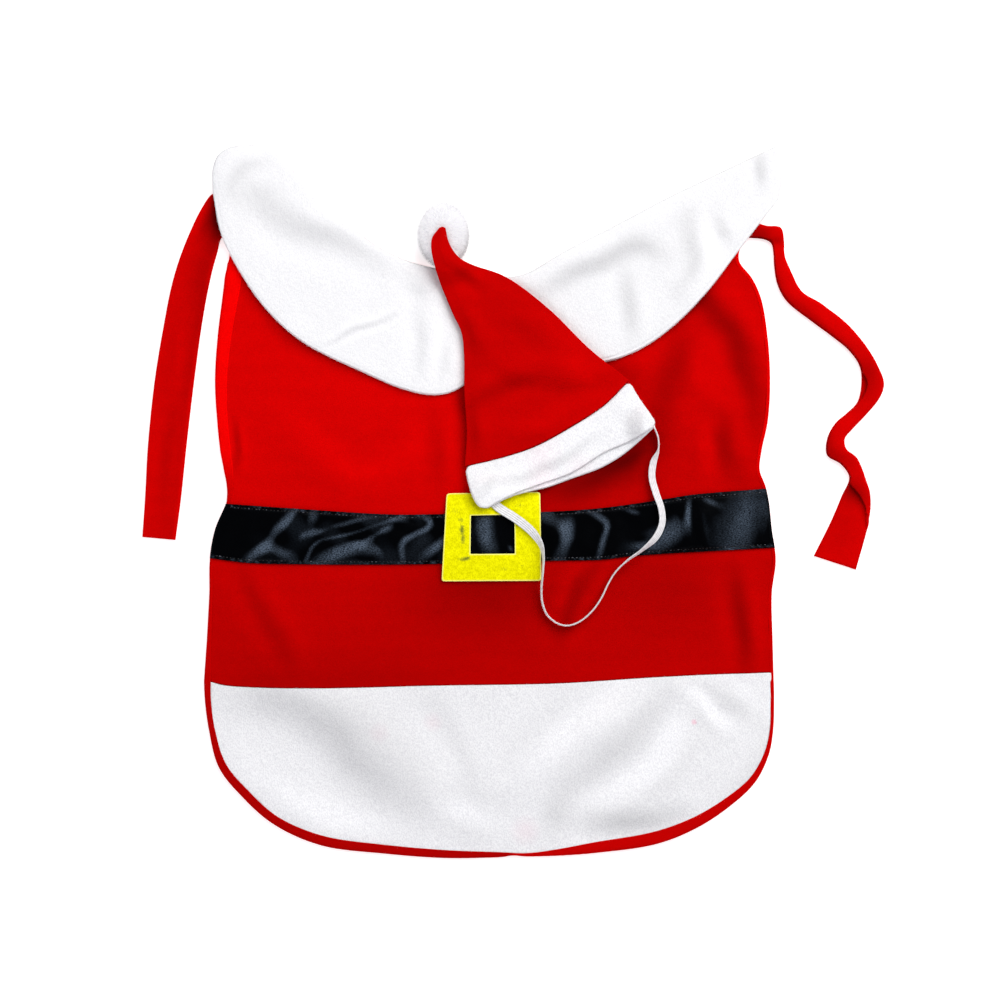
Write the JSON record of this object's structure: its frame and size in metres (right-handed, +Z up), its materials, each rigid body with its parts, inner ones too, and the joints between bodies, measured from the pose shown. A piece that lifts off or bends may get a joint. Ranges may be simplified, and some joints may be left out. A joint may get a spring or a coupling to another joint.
{
  "type": "pet santa costume, laid flat",
  "caption": "Pet costume laid flat: red fleece cape with a plush collar and hem, satin belt with a felt buckle and tie straps, and a small hat with a pompom and an elastic loop.",
  "frame": {"origin": "on the table under the middle of the costume, on the lining's underside", "axes": "+Z up from the table the costume lies on, +Y from its hem towards its neck, +X to the right as it is seen from above"},
  "size_m": [0.49, 0.4713, 0.0212],
  "materials": {
    "red_fleece": "brushed polyester fleece, short nap, matt",
    "lining_fleece": "thin brushed polyester, matt",
    "white_plush": "short-pile white plush, soft and matt",
    "black_satin": "woven satin ribbon, glossy along its creases",
    "yellow_felt": "needled felt, matt and slightly mottled",
    "white_elastic": "ribbed flat elastic, semi-matt"
  },
  "bodies": {
    "root": {"lining": "lining_fleece", "front_panel": "red_fleece", "hem_band": "white_plush", "collar_left": "white_plush", "collar_right": "white_plush", "tie_left": "red_fleece", "tie_right": "red_fleece", "belt": "black_satin", "buckle": "yellow_felt", "hat_back": "red_fleece", "hat_front": "red_fleece", "cuff_back": "white_plush", "cuff_front": "white_plush", "pompom": "white_plush", "elastic": "white_elastic"}
  },
  "joints": []
}
